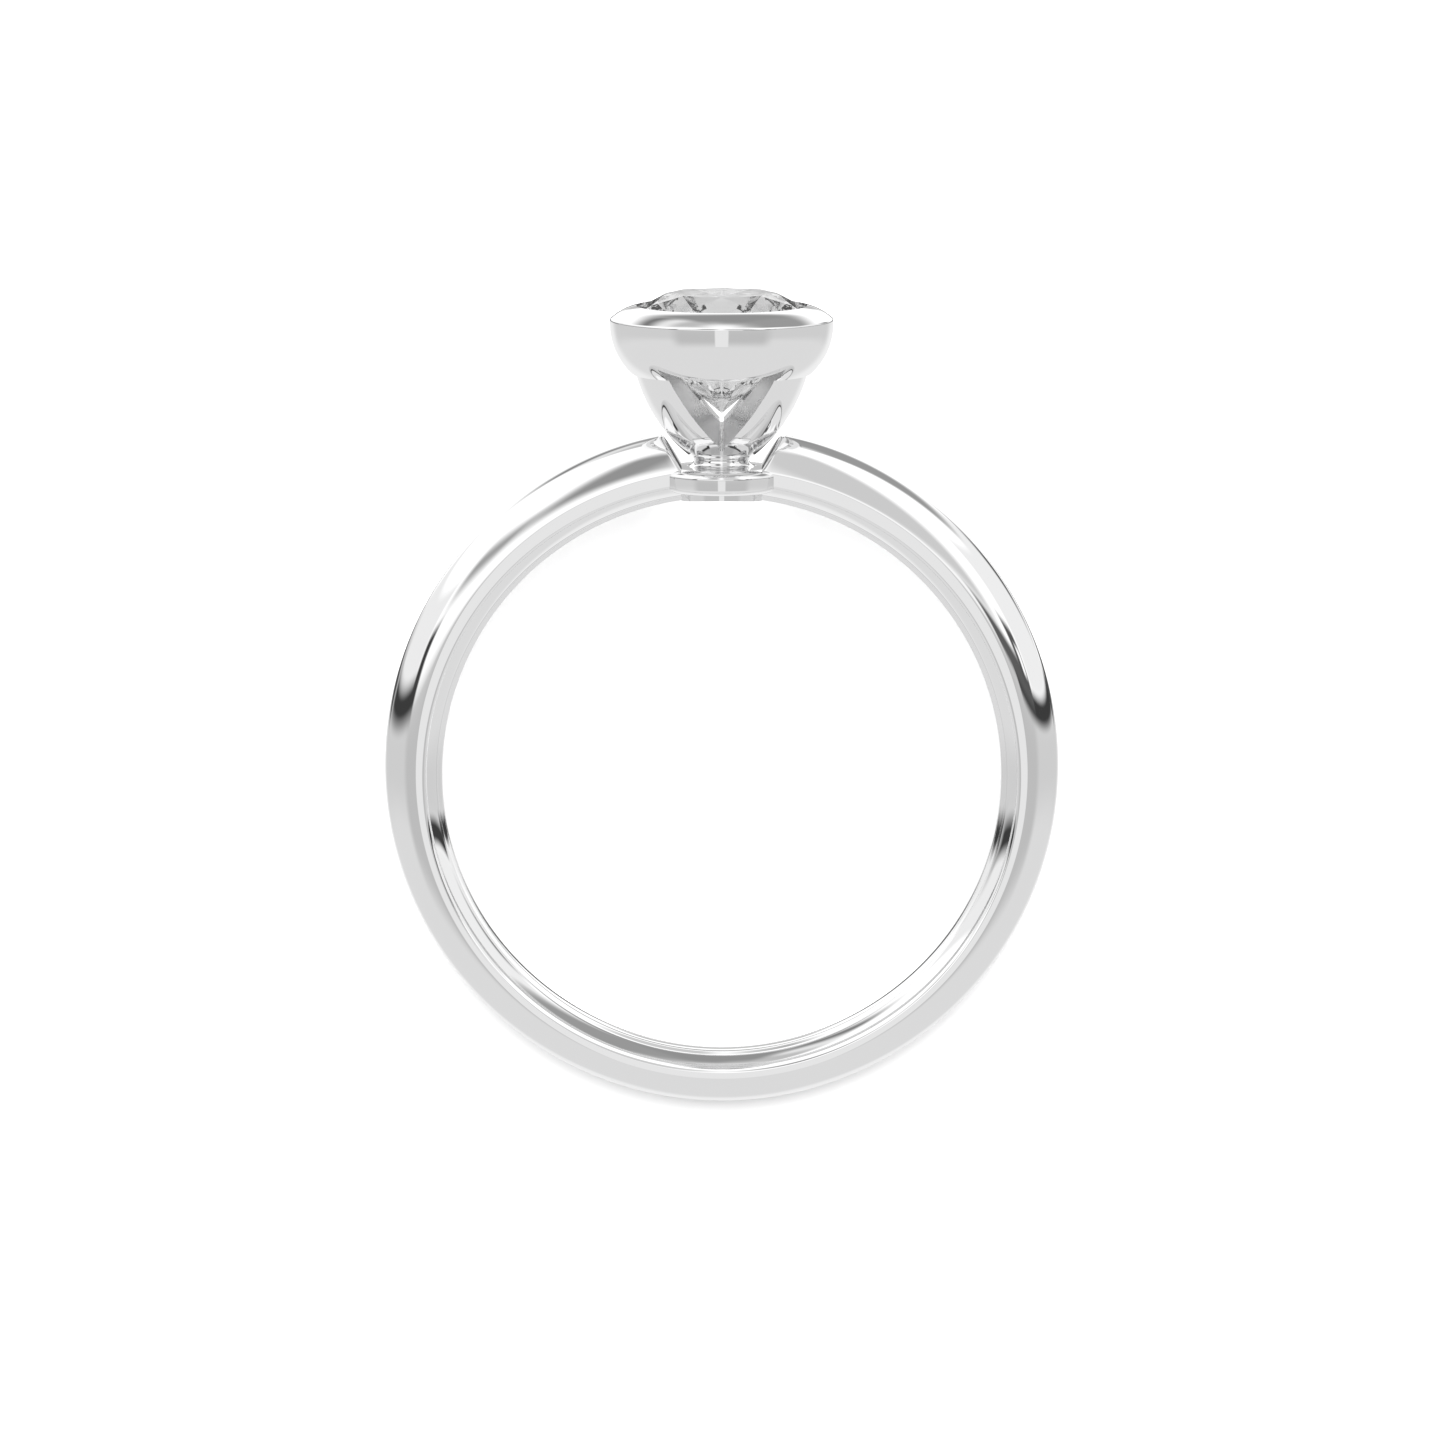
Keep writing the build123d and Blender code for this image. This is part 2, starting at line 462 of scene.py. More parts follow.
class GeometryTree:
    """A Geometry Nodes tree with named inputs, applied to an object as a modifier."""

    def __init__(self, name: str, sockets: dict[str, str]) -> None:
        """Makes the tree.

        Args:
            name: its name.
            sockets: the socket type of each named input.
        """
        self.group = bpy.data.node_groups.new(name, "GeometryNodeTree")
        self.identifiers: dict[str, str] = {}
        interface = self.group.interface
        interface.new_socket("Geometry", in_out="INPUT", socket_type="NodeSocketGeometry")
        for label, kind in sockets.items():
            made = interface.new_socket(label, in_out="INPUT", socket_type=kind)
            self.identifiers[label] = made.identifier
        interface.new_socket("Geometry", in_out="OUTPUT", socket_type="NodeSocketGeometry")
        self.sketch = NodeSketch(self.group)
        self.inputs = self.sketch.add("NodeGroupInput").outputs

    def close(self, geometry: bpy.types.NodeSocket) -> None:
        """Ends the tree in Realize Instances and Set Material.

        Args:
            geometry: the last output of the tree's own nodes.
        """
        real = self.sketch.add("GeometryNodeRealizeInstances", {"Geometry": geometry})
        dressed = {"Geometry": real.outputs[0], "Material": self.inputs["Material"]}
        finish = self.sketch.add("GeometryNodeSetMaterial", dressed)
        self.sketch.add("NodeGroupOutput", {"Geometry": finish.outputs[0]})

    def grow(self, seed: bpy.types.Object, values: dict[str, object]) -> bpy.types.Mesh:
        """Runs the tree on an object and returns the result as a plain mesh.

        Args:
            seed: the object that carries the modifier; it is removed.
            values: the value of each named input.

        Returns:
            The evaluated mesh.
        """
        modifier = seed.modifiers.new(self.group.name, "NODES")
        modifier.node_group = self.group
        for label, value in values.items():
            modifier[self.identifiers[label]] = value
        bpy.context.view_layer.update()
        depsgraph = bpy.context.evaluated_depsgraph_get()
        mesh = bpy.data.meshes.new_from_object(seed.evaluated_get(depsgraph))
        seed.modifiers.remove(modifier)
        bpy.data.objects.remove(seed)
        return mesh


def helper(name: str, mesh: bpy.types.Mesh) -> bpy.types.Object:
    """Puts a mesh in the scene as an object.

    Args:
        name: the object's name.
        mesh: its mesh.

    Returns:
        The object.
    """
    made = bpy.data.objects.new(name, mesh)
    bpy.context.scene.collection.objects.link(made)
    return made


@dataclass
class Shank:
    """The shank: one section that swells from its base to its shoulders, swept round the finger."""

    hole_radius: float = 8.25
    land_half_width: float = 0.3
    step_radius: float = 8.39
    step_half_width: float = 0.38
    side_radius: float = 8.76
    flank_bulge: float = 0.0475
    half_width: float = 1.0
    edge_at_base: float = 8.95
    edge_at_shoulder: float = 9.15
    crest_at_base: float = 9.8
    crest_at_shoulder: float = 10.25
    swell_power: float = 1.65
    end_rounding: float = 0.22
    notch_foot: float = 1.17
    notch_height: float = 9.15
    notch_angle: float = 31.0
    corner_rounding: float = 0.05
    upright_edge: float = 0.03
    crease: float = 25.0
    flank_spans: int = 6
    corner_spans: int = 3
    dome_spans: int = 48
    rows: int = 401
    end_rows: int = 9

    def section(self, edge: float, crest: float) -> tuple[list[Point], list[float]]:
        """Outline of one section.

        Args:
            edge: radius of the outer edge of the side facets.
            crest: radius of the outer crest.

        Returns:
            Radius and side of each point, and how far the end rounding reaches it, from 0 to 1.
        """
        rise = crest - edge
        radius = (self.half_width**2 + rise**2) / (2 * rise)
        start = atan2(edge - (crest - radius), self.half_width)
        dome = arc((0.0, crest - radius), radius, start, pi - start, self.dome_spans)
        side_corner = (self.half_width, self.side_radius)
        step_corner = (self.step_half_width, self.step_radius)
        flank = bulged(side_corner, step_corner, -self.flank_bulge, self.flank_spans)
        upright = (self.half_width, edge - self.upright_edge)
        half = [upright, *flank, (self.land_half_width, self.hole_radius)]
        inner = half + [(-f, r) for f, r in reversed(half)]
        inside = rounded(inner, self.corner_rounding, self.corner_spans)
        inside.reverse()
        points = [(r, f) for f, r in dome + inside]
        reach = [1.0] * len(dome) + [1.0] + [0.0] * (len(inside) - 2) + [1.0]
        return points, reach

    def tree(self) -> GeometryTree:
        """Builds the tree that sweeps the section.

        Returns:
            The tree.
        """
        real, whole = "NodeSocketFloat", "NodeSocketInt"
        sockets = {
            "Section": "NodeSocketObject",
            "Rows": whole,
            "Section Points": whole,
            "End Rows": whole,
            "Swell Power": real,
            "End Rounding": real,
            "End Turn": real,
            "Notch Reach": real,
            "Notch Angle": real,
            "Material": "NodeSocketMaterial",
        }
        tree = GeometryTree("shank_sweep", sockets)
        s, given = tree.sketch, tree.inputs
        columns = s.math("ADD", given["Section Points"], 1.0)
        grid = s.add("GeometryNodeMeshGrid", {"Vertices X": given["Rows"], "Vertices Y": columns})
        index = s.add("GeometryNodeInputIndex").outputs[0]
        row = s.math("FLOOR", s.math("DIVIDE", s.math("ADD", index, 0.5), columns))
        column = s.math("SUBTRACT", index, s.math("MULTIPLY", row, columns))
        column = s.math("ROUND", s.math("MODULO", column, given["Section Points"]))
        outline = s.add("GeometryNodeObjectInfo", {"Object": given["Section"]}).outputs["Geometry"]

        def sampled(kind: str, value: bpy.types.NodeSocket) -> bpy.types.NodeSocket:
            """Reads a field at this column's point of the section.

            Args:
                kind: the field's data type.
                value: the field.

            Returns:
                Its value there.
            """
            node = s.add("GeometryNodeSampleIndex", data_type=kind, domain="POINT")
            s.feed(node.inputs["Geometry"], outline)
            s.feed(node.inputs["Value"], value)
            s.feed(node.inputs["Index"], column)
            return node.outputs[0]

        def attribute(name: str) -> bpy.types.NodeSocket:
            """Reads one of the section's float attributes at this column.

            Args:
                name: the attribute's name.

            Returns:
                Its value there.
            """
            node = s.add("GeometryNodeInputNamedAttribute", {"Name": name}, data_type="FLOAT")
            return sampled("FLOAT", node.outputs[0])

        base = sampled("FLOAT_VECTOR", s.add("GeometryNodeInputPosition").outputs[0])
        base_radius, side, _ = s.add("ShaderNodeSeparateXYZ", {0: base}).outputs
        shoulder_radius, reach = attribute("shoulder_radius"), attribute("rounded_end")

        # Rows near an end run round the rounded end, and the others share the way round the finger
        last = s.math("SUBTRACT", given["Rows"], 1.0)
        from_end = s.math("MINIMUM", row, s.math("SUBTRACT", last, row))
        end_share = s.math("SUBTRACT", 1.0, s.math("DIVIDE", from_end, given["End Rows"]), clamp=True)
        bend = s.math("MULTIPLY", end_share, given["End Turn"])
        spans = s.math("SUBTRACT", last, s.math("MULTIPLY", given["End Rows"], 2.0))
        share = s.math("DIVIDE", s.math("SUBTRACT", row, given["End Rows"]), spans, clamp=True)
        way = s.math("SIGN", s.math("SUBTRACT", s.math("MULTIPLY", last, 0.5), row))

        # The ends are cut on the notch's slanted faces
        cut = s.math("ARCCOSINE", s.math("DIVIDE", given["Notch Reach"], shoulder_radius))
        cut = s.math("SUBTRACT", cut, given["Notch Angle"])
        half_turn = s.math("TANGENT", s.math("MULTIPLY", given["End Turn"], 0.5))
        setback = s.math("MULTIPLY", given["End Rounding"], half_turn)
        start = s.math("SUBTRACT", cut, s.math("DIVIDE", setback, shoulder_radius))
        sweep = s.math("ADD", s.math("MULTIPLY", start, 2.0), pi)
        angle = s.math("SUBTRACT", start, s.math("MULTIPLY", share, sweep))
        curved = s.math("MULTIPLY", s.math("SINE", bend), s.math("MULTIPLY", given["End Rounding"], reach))
        straight = s.math("MULTIPLY", s.math("MULTIPLY", setback, end_share), s.math("SUBTRACT", 1.0, reach))
        onward = s.math("DIVIDE", s.math("ADD", curved, straight), shoulder_radius)
        angle = s.math("ADD", angle, s.math("MULTIPLY", way, onward))

        # The section swells with the height on the finger
        swell = s.math("MULTIPLY", s.math("ADD", s.math("SINE", angle), 1.0), 0.5)
        swell = s.math("POWER", swell, given["Swell Power"])
        growth = s.math("MULTIPLY", s.math("SUBTRACT", shoulder_radius, base_radius), swell)
        drop = s.math("SUBTRACT", 1.0, s.math("COSINE", bend))
        drop = s.math("MULTIPLY", drop, s.math("MULTIPLY", given["End Rounding"], reach))
        radius = s.math("SUBTRACT", s.math("ADD", base_radius, growth), drop)
        place = s.add(
            "ShaderNodeCombineXYZ",
            {
                0: s.math("MULTIPLY", radius, s.math("COSINE", angle)),
                1: s.math("MULTIPLY", radius, s.math("SINE", angle)),
                2: side,
            },
        )
        moved = {"Geometry": grid.outputs["Mesh"], "Position": place.outputs[0]}
        shaped = s.add("GeometryNodeSetPosition", moved).outputs[0]
        merged = s.add("GeometryNodeMergeByDistance", {"Geometry": shaped, "Distance": SAME_POINT})
        tree.close(merged.outputs[0])
        return tree

    def build(self, frame: RingFrame, material: bpy.types.Material) -> bpy.types.Object:
        """Sweeps the shank.

        Args:
            frame: the ring's frame.
            material: its finish.

        Returns:
            The piece.
        """
        base, reach = self.section(self.edge_at_base, self.crest_at_base)
        shoulder, _ = self.section(self.edge_at_shoulder, self.crest_at_shoulder)
        outline = bpy.data.meshes.new("shank_section")
        outline.from_pydata([(r, f, 0) for r, f in base], [], [])
        wide = outline.attributes.new("shoulder_radius", "FLOAT", "POINT")
        wide.data.foreach_set("value", [r for r, _ in shoulder])
        ends = outline.attributes.new("rounded_end", "FLOAT", "POINT")
        ends.data.foreach_set("value", reach)
        section = helper("shank_section", outline)

        slant = radians(self.notch_angle)
        notch_reach = self.notch_foot * cos(slant) - self.notch_height * sin(slant)
        cut = acos(notch_reach / self.crest_at_shoulder) - slant
        values = {
            "Section": section,
            "Rows": self.rows,
            "Section Points": len(base),
            "End Rows": self.end_rows,
            "Swell Power": self.swell_power,
            "End Rounding": self.end_rounding,
            "End Turn": pi - slant - cut,
            "Notch Reach": notch_reach,
            "Notch Angle": slant,
            "Material": material,
        }
        seed = helper("shank_seed", bpy.data.meshes.new("shank_seed"))
        mesh = self.tree().grow(seed, values)
        bpy.data.objects.remove(section)
        self.cap(mesh)
        shade(mesh, self.crease)
        return finish_mesh("shank", mesh, frame, material)

    def cap(self, mesh: bpy.types.Mesh) -> None:
        """Closes the two ends of the shank.

        Args:
            mesh: the swept mesh, changed in place.
        """
        made = bmesh.new()
        made.from_mesh(mesh)
        open_edges = [edge for edge in made.edges if len(edge.link_faces) == 1]
        bmesh.ops.holes_fill(made, edges=open_edges)
        bmesh.ops.recalc_face_normals(made, faces=made.faces)
        made.to_mesh(mesh)
        made.free()


@dataclass
class Collar:
    """The puck under the basket, with a rounded underside on a pad that reaches the finger hole."""

    hole_radius: float = 8.25
    radius: float = 1.82
    top: float = 9.15
    foot: float = 8.62
    edge_width: float = 0.45
    edge_depth: float = 0.22
    pad_radius: float = 1.22
    pad_shoulder: float = 8.4
    crease: float = 30.0
    under_spans: int = 12
    edge_spans: int = 16
    pad_spans: int = 12
    spans: int = 256

    def build(self, frame: RingFrame, material: bpy.types.Material) -> bpy.types.Object:
        """Turns the collar and fits its pad to the finger hole.

        Args:
            frame: the ring's frame.
            material: its finish.

        Returns:
            The piece.
        """
        under_width, under_depth = self.radius - self.pad_radius, self.foot - self.pad_shoulder
        under = [
            (self.pad_radius + under_width * x, self.foot - under_depth * y)
            for y, x in arc((0.0, 0.0), 1.0, 0, pi / 2, self.under_spans)
        ]
        edge = [
            (self.radius - self.edge_width * (1 - x), self.top - self.edge_depth * (1 - y))
            for x, y in arc((0.0, 0.0), 1.0, 0, pi / 2, self.edge_spans)
        ]
        shares = [k / self.pad_spans for k in range(self.pad_spans + 1)]
        bottom = [(self.pad_radius * share, self.hole_radius) for share in shares]
        profile = bottom + under + edge + [(0.0, self.top)]
        mesh = turned("collar", profile, self.spans)
        for vertex in mesh.vertices:
            if vertex.co.y < self.hole_radius + SAME_POINT:
                vertex.co.y = sqrt(self.hole_radius**2 - vertex.co.x**2)
        shade(mesh, self.crease)
        return finish_mesh("collar", mesh, frame, material)


@dataclass
class Setting:
    """The open basket and the bezel cup, turned in one piece and cut by a V window in front and behind."""

    foot: float = 9.0
    fillet_radius: float = 0.21
    waist_radius: float = 0.82
    waist_height: float = 9.36
    basket_top_radius: float = 2.517
    basket_bulge: float = 0.249
    cup_foot_radius: float = 2.62
    cup_foot_height: float = 11.877
    cup_radius: float = 3.278
    cup_wall_foot: float = 13.332
    rim_height: float = 13.547
    rim_rounding: float = 0.07
    lip_radius: float = 2.5
    lip_height: float = 13.885
    lip_underside: float = 13.766
    lip_crown: float = 0.05
    seat_radius: float = 2.99
    seat_top: float = 13.34
    seat_foot: float = 13.23
    hollow_rim_radius: float = 2.15
    hollow_rim: float = 12.51
    hollow_floor_radius: float = 0.33
    hollow_floor: float = 10.3
    hollow_bulge: float = 0.11
    window_count: int = 2
    window_start: float = 10.937
    window_slope: float = 41.0
    window_half_angle: float = 37.3
    window_height: float = 2.45
    window_rounding: float = 0.1
    wall_roughness: float = 0.3
    wall_tolerance: float = 0.005
    flat_enough: float = 0.999
    crease: float = 30.0
    wall_spans: int = 28
    lip_spans: int = 16
    hollow_spans: int = 24
    rim_spans: int = 8
    root_spans: int = 24
    spans: int = 384

    def profile(self) -> list[Point]:
        """Draws the turned form, up the outside and down the seat.

        Returns:
            Radius and height of each point, in millimetres.
        """
        drop, inset = self.cup_wall_foot - self.cup_foot_height, self.cup_radius - self.cup_foot_radius
        wall = (drop**2 + inset**2) / (2 * inset)
        wall_end = -asin(drop / wall)
        cup = arc((self.cup_radius - wall, self.cup_wall_foot), wall, wall_end, 0, self.wall_spans)
        waist = (self.waist_radius, self.waist_height)
        basket_top = (self.basket_top_radius, self.cup_foot_height)
        basket = bulged(waist, basket_top, self.basket_bulge, self.wall_spans)
        lip_foot = (self.cup_radius - self.rim_rounding, self.rim_height)
        lip = bulged(lip_foot, (self.lip_radius, self.lip_height), self.lip_crown, self.lip_spans)
        lip_start = Vector(lip[0]) - Vector(lip[1])
        rim_corner = (self.cup_radius, self.rim_height + self.rim_rounding * lip_start.y / lip_start.x)
        rim = rounded([cup[-1], rim_corner, lip_foot], self.rim_rounding, self.rim_spans)[1:-1]
        hollow_start = (self.hollow_rim_radius, self.hollow_rim)
        hollow_end = (self.hollow_floor_radius, self.hollow_floor)
        hollow = bulged(hollow_start, hollow_end, -self.hollow_bulge, self.hollow_spans)
        fillet_edge = self.waist_radius + self.fillet_radius
        fillet_centre = (fillet_edge, self.waist_height)
        fillet = arc(fillet_centre, self.fillet_radius, 1.5 * pi, pi, self.rim_spans)
        return [
            (0.0, self.foot),
            (fillet_edge, self.foot),
            *fillet,
            *basket[1:],
            *cup,
            *rim,
            *lip[1:],
            (self.lip_radius, self.lip_underside),
            (self.seat_radius, self.seat_top),
            (self.seat_radius, self.seat_foot),
            *hollow,
            (0.0, self.hollow_floor),
        ]

    def cutter(self) -> bpy.types.Object:
        """Makes the three-sided prism, with a round groove along its root, that cuts the front window.

        Returns:
            The construction object.
        """
        slope, half = radians(self.window_slope), radians(self.window_half_angle)
        width = self.window_height * tan(half)
        root_start, root_end = pi / 2 + half, 5 * pi / 2 - half
        root = arc((0.0, 0.0), self.window_rounding, root_start, root_end, self.root_spans)
        outline = [(width, self.window_height), (-width, self.window_height), *root]
        length = self.cup_radius / cos(slope)
        run, up = Vector((0, -sin(slope), cos(slope))), Vector((0, cos(slope), sin(slope)))
        start = Vector((0, self.window_start, 0))
        made = bmesh.new()
        ends = [
            [made.verts.new(start + run * reach + up * b + Vector((a, 0, 0))) for a, b in outline]
            for reach in (0.0, length)
        ]
        count = len(outline)
        for k in range(count):
            nxt = (k + 1) % count
            made.faces.new((ends[0][k], ends[0][nxt], ends[1][nxt], ends[1][k]))
        made.faces.new(ends[0])
        made.faces.new(ends[1])
        bmesh.ops.recalc_face_normals(made, faces=made.faces)
        mesh = bpy.data.meshes.new("window_cutter")
        made.to_mesh(mesh)
        made.free()
        return helper("window_cutter", mesh)

    def tree(self) -> GeometryTree:
        """Builds the tree that repeats the cutter round the head and cuts the windows.

        Returns:
            The tree.
        """
        sockets = {"Cutter": "NodeSocketObject", "Windows": "NodeSocketInt", "Material": "NodeSocketMaterial"}
        tree = GeometryTree("window_ring", sockets)
        s, given = tree.sketch, tree.inputs
        line = s.add("GeometryNodeMeshLine", {"Count": given["Windows"], "Offset": (0, 0, 0)})
        points = s.add("GeometryNodeMeshToPoints", {"Mesh": line.outputs[0]})
        cutter = s.add("GeometryNodeObjectInfo", {"Object": given["Cutter"]})
        index = s.add("GeometryNodeInputIndex").outputs[0]
        turn = s.math("MULTIPLY", s.math("DIVIDE", 2 * pi, given["Windows"]), index)
        rotation = s.add("ShaderNodeCombineXYZ", {1: turn}).outputs[0]
        copies = s.add("GeometryNodeInstanceOnPoints", {"Points": points.outputs[0], "Rotation": rotation})
        s.feed(copies.inputs["Instance"], cutter.outputs["Geometry"])
        windows = s.add("GeometryNodeRealizeInstances", {"Geometry": copies.outputs[0]})
        crossing = {"Self Intersection": True}  # the two windows' cutters meet under the stone
        cut = s.add("GeometryNodeMeshBoolean", crossing, operation="DIFFERENCE", solver="EXACT")
        s.feed(cut.inputs["Mesh 1"], given["Geometry"])
        s.feed(cut.inputs["Mesh 2"], windows.outputs[0])
        tree.close(cut.outputs["Mesh"])
        return tree

    def build(self, frame: RingFrame, material: bpy.types.Material) -> bpy.types.Object:
        """Turns the setting and cuts its windows.

        Args:
            frame: the ring's frame.
            material: its finish.

        Returns:
            The piece.
        """
        seed = helper("setting_seed", turned("setting", self.profile(), self.spans))
        cutter = self.cutter()
        values = {"Cutter": cutter, "Windows": self.window_count, "Material": material}
        mesh = self.tree().grow(seed, values)
        bpy.data.objects.remove(cutter)
        shade(mesh, self.crease)
        walls = self.window_walls(mesh)
        piece = finish_mesh("setting", mesh, frame, material)
        satin = PolishedMetal("satin_white_gold", roughness=self.wall_roughness)
        mesh.materials.append(satin.material())
        for index in walls:
            mesh.polygons[index].material_index = 1
        return piece

    def window_walls(self, mesh: bpy.types.Mesh) -> list[int]:
        """Finds the flat walls of the windows, which are less polished than the outside.

        Args:
            mesh: the cut setting, in the ring's millimetres.

        Returns:
            The index of each of their faces.
        """
        slope, half = radians(self.window_slope), radians(self.window_half_angle)
        wall = Vector((cos(half), sin(half) * cos(slope), sin(half) * sin(slope)))
        walls = []
        for face in mesh.polygons:
            normal = Vector((abs(face.normal.x), face.normal.y, abs(face.normal.z)))
            height = face.center.y - self.window_start
            away = Vector((-abs(face.center.x), height, abs(face.center.z))).dot(wall)
            if normal.dot(wall) > self.flat_enough and abs(away) < self.wall_tolerance:
                walls.append(face.index)
        return walls


@dataclass(frozen=True)
class StudioCard:
    """One part of the studio that the metal mirrors, by its direction from the ring, in degrees.

    Bearing 0 is towards the camera and grows to the right, and the elevation is towards the head.
    """

    bearing: float
    half_width: float
    low: float
    high: float
    level: float
    softness: float


@dataclass
class Studio:
    """Camera, floor, lights and the surroundings that the polished metal mirrors."""

    camera_place: tuple[float, float, float] = (0.024, 34.5, 223.6)
    camera_pitch: float = 8.386
    focal_pixels: float = 7658.6
    sensor_width: float = 36.0
    floor_half_width: float = 0.6
    floor_whiteness: float = 0.9
    key_energy: float = 4.6
    key_softness: float = 70.0
    key_direction: tuple[float, float, float] = (0.0, 0.6, 1.0)
    bounces: int = 24
    room_level: float = 1.25
    stone_surroundings: float = 0.65
    stone_haze: float = 0.9
    camera_surroundings: float = 1.0
    cards: list[StudioCard] = field(
        default_factory=lambda: [
            StudioCard(0, 181, -91, 0, 0.80, 1.0),
            StudioCard(0, 181, -14, 0, 0.70, 5.0),
            StudioCard(0, 50, -23, 0, 0.58, 8.0),
            StudioCard(180, 34, -60, 0, 0.95, 10.0),
            StudioCard(0, 7, -27, -1.5, 0.9, 0.8),
            StudioCard(180, 60, 60, 80, 0.58, 8.0),
            StudioCard(20, 17, 8, 64, 0.68, 6.0),
            StudioCard(-17, 12, 20, 57, 0.33, 8.0),
            StudioCard(-40, 12, 18, 30, 0.40, 6.0),
            StudioCard(-145, 18, 40, 54, 0.20, 8.0),
            StudioCard(140, 42, 37, 73, 0.36, 8.0),
            StudioCard(180, 22, 37, 70, 0.32, 8.0),
            StudioCard(-101, 42, 5, 25, 0.96, 2.5),
            StudioCard(98, 37, 4, 36, 0.98, 2.5),
            StudioCard(-88, 42, -1, 6, 0.05, 2.5),
            StudioCard(-138, 14, -1, 8, 0.50, 6.0),
            StudioCard(82, 52, -1, 4, 0.05, 1.5),
            StudioCard(-52, 5, 3, 14, 0.05, 2.5),
            StudioCard(40, 18, 1, 8, 0.12, 2.0),
            StudioCard(52, 6, 4, 15, 0.10, 2.0),
            StudioCard(54, 2.5, 6, 11, 1.2, 1.0),
            StudioCard(141, 8, 9, 25, 0.05, 6.0),
            StudioCard(180, 48, -3, 3, 0.08, 1.5),
            StudioCard(180, 7, 5, 13, 0.55, 1.5),
        ]
    )

    def build_camera(self, frame: RingFrame) -> None:
        """Places the camera at the photograph's angle to the ring.

        Args:
            frame: the ring's frame.
        """
        data = bpy.data.cameras.new("camera")
        data.sensor_width = self.sensor_width
        data.lens = self.focal_pixels / IMAGE_SIZE * self.sensor_width
        data.clip_start, data.clip_end = 0.01, 10.0
        camera = bpy.data.objects.new("camera", data)
        pitch = radians(self.camera_pitch)
        back = Vector((0, sin(pitch), cos(pitch)))
        up = Vector((0, cos(pitch), -sin(pitch)))
        turn = Matrix((Vector((1, 0, 0)), up, back)).transposed()
        place = Matrix.Translation(frame.point(*self.camera_place))
        camera.matrix_world = place @ (frame.turn() @ turn).to_4x4()
        bpy.context.scene.collection.objects.link(camera)
        bpy.context.scene.camera = camera

    def build_floor(self) -> None:
        """Lays the plain white floor under the ring; the mirrors see the studio instead of it."""
        half = self.floor_half_width
        corners = [(-half, -half, 0), (half, -half, 0), (half, half, 0), (-half, half, 0)]
        floor = helper("floor", mesh_of("floor", corners, [(0, 1, 2, 3)]))
        material = bpy.data.materials.new("white_floor")
        material.use_nodes = True
        shader = material.node_tree.nodes["Principled BSDF"]
        shader.inputs["Base Color"].default_value = (*[self.floor_whiteness] * 3, 1)
        shader.inputs["Roughness"].default_value = 1.0
        shader.inputs["Specular IOR Level"].default_value = 0.0
        floor.data.materials.append(material)
        floor.visible_glossy = False
        floor.visible_transmission = False

    def build_light(self) -> None:
        """Adds the soft key light that fills the floor; it comes from the head's side."""
        data = bpy.data.lights.new("key", "SUN")
        data.energy = self.key_energy
        data.angle = radians(self.key_softness)
        key = bpy.data.objects.new("key", data)
        key.rotation_euler = Vector(self.key_direction).to_track_quat("Z", "Y").to_euler()
        key.visible_glossy = False
        key.visible_transmission = False
        bpy.context.scene.collection.objects.link(key)

    def build_surroundings(self, frame: RingFrame) -> None:
        """Paints the world with the studio cards, plain white for the camera.

        Args:
            frame: the ring's frame.
        """
        world = bpy.data.worlds.new("studio")
        world.use_nodes = True
        bpy.context.scene.world = world
        tree = world.node_tree
        s = NodeSketch(tree)
        way = s.add("ShaderNodeTexCoord").outputs["Generated"]
        across = s.vector_math("DOT_PRODUCT", way, tuple(frame.across), output=1)
        head = s.vector_math("DOT_PRODUCT", way, tuple(frame.head), output=1)
        side = s.vector_math("DOT_PRODUCT", way, tuple(frame.side), output=1)
        bearing = s.math("DEGREES", s.math("ARCTAN2", across, side))
        elevation = s.math("DEGREES", s.math("ARCSINE", head))
        level: Value = self.room_level
        for card in self.cards:
            away = s.math("WRAP", s.math("SUBTRACT", bearing, card.bearing), 180.0, -180.0)
            away = s.math("ABSOLUTE", away)
            sides = s.ramp(away, card.half_width + card.softness, card.half_width - card.softness)
            foot = s.ramp(elevation, card.low - card.softness, card.low + card.softness)
            top = s.ramp(elevation, card.high + card.softness, card.high - card.softness)
            mask = s.math("MULTIPLY", sides, s.math("MULTIPLY", foot, top))
            change = s.math("MULTIPLY", s.math("SUBTRACT", card.level, level), mask)
            level = s.math("ADD", level, change)
        path = s.add("ShaderNodeLightPath").outputs
        plain_parts = (
            ("Is Transmission Ray", self.stone_surroundings, self.stone_haze),
            ("Is Camera Ray", self.camera_surroundings, 1.0),
        )
        for ray, plain, share in plain_parts:
            mask = s.math("MULTIPLY", path[ray], share)
            change = s.math("MULTIPLY", s.math("SUBTRACT", plain, level), mask)
            level = s.math("ADD", level, change)
        background = tree.nodes["Background"]
        s.feed(background.inputs["Strength"], level)
        background.inputs["Color"].default_value = (1, 1, 1, 1)

    def build(self, frame: RingFrame) -> None:
        """Builds the whole studio.

        Args:
            frame: the ring's frame.
        """
        self.build_camera(frame)
        self.build_floor()
        self.build_light()
        self.build_surroundings(frame)
        scene = bpy.context.scene
        scene.view_settings.view_transform = "Standard"
        for kind in ("max_bounces", "glossy_bounces", "transmission_bounces"):
            setattr(scene.cycles, kind, self.bounces)


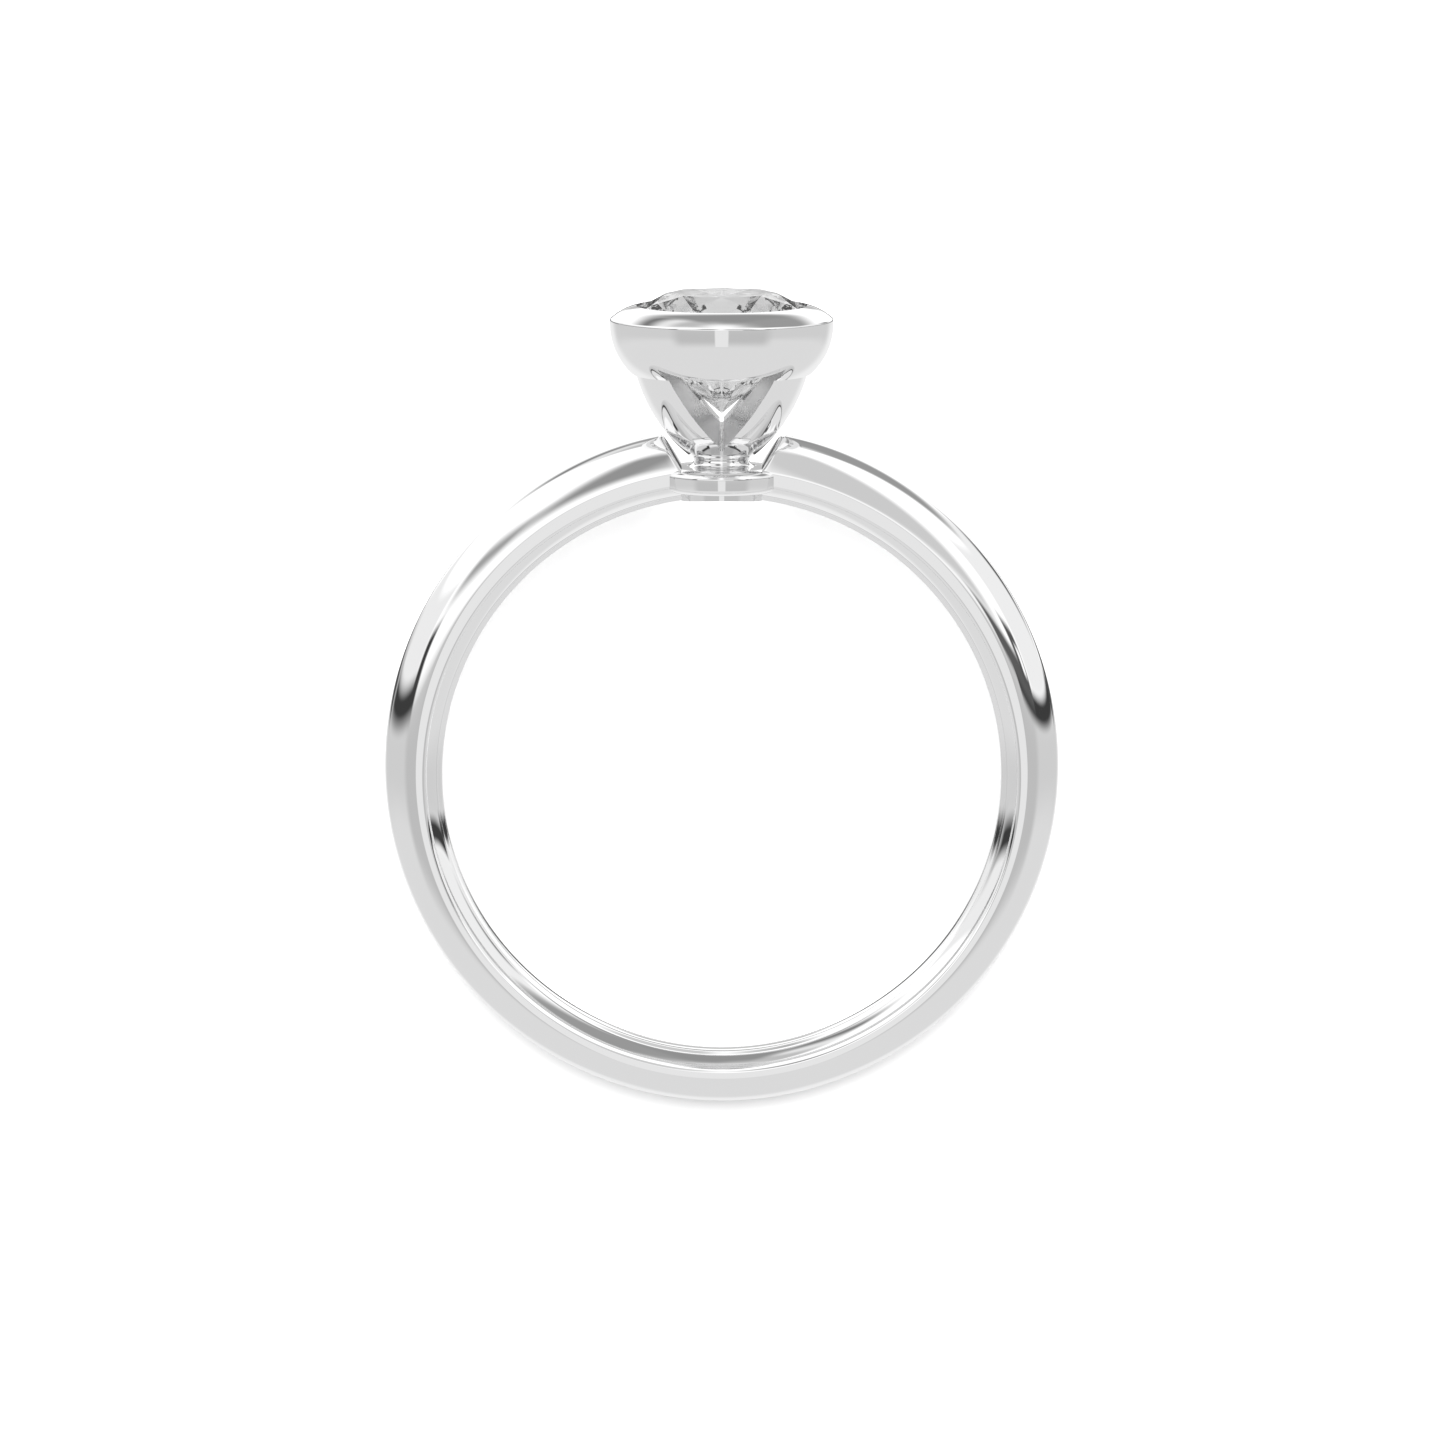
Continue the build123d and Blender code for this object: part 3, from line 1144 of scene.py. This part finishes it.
def main() -> None:
    """Builds the pieces in order."""
    logging.basicConfig(level=logging.INFO, format="%(name)s %(message)s")
    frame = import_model()
    ring = RingFrame.from_record(frame["record"])
    LOG.info("ring frame: centre %s, head %s, side %s", ring.centre, ring.head, ring.side)

    Studio().build(ring)
    metal = PolishedMetal().material()
    for maker in (Shank(), Collar(), Setting()):
        piece = maker.build(ring, metal)
        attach(piece, "root")
        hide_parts("ring_mount")
        piece.visible_shadow = isinstance(maker, Shank)  # the photograph has no shadow beside the head
        LOG.info("%s: %d faces", piece.name, len(piece.data.polygons))

    stone = frame["nodes"]["centre_stone"]
    stone.visible_shadow = False
    stone.data.materials.clear()
    stone.data.materials.append(CutDiamond().material())


if __name__ == "__main__":
    main()
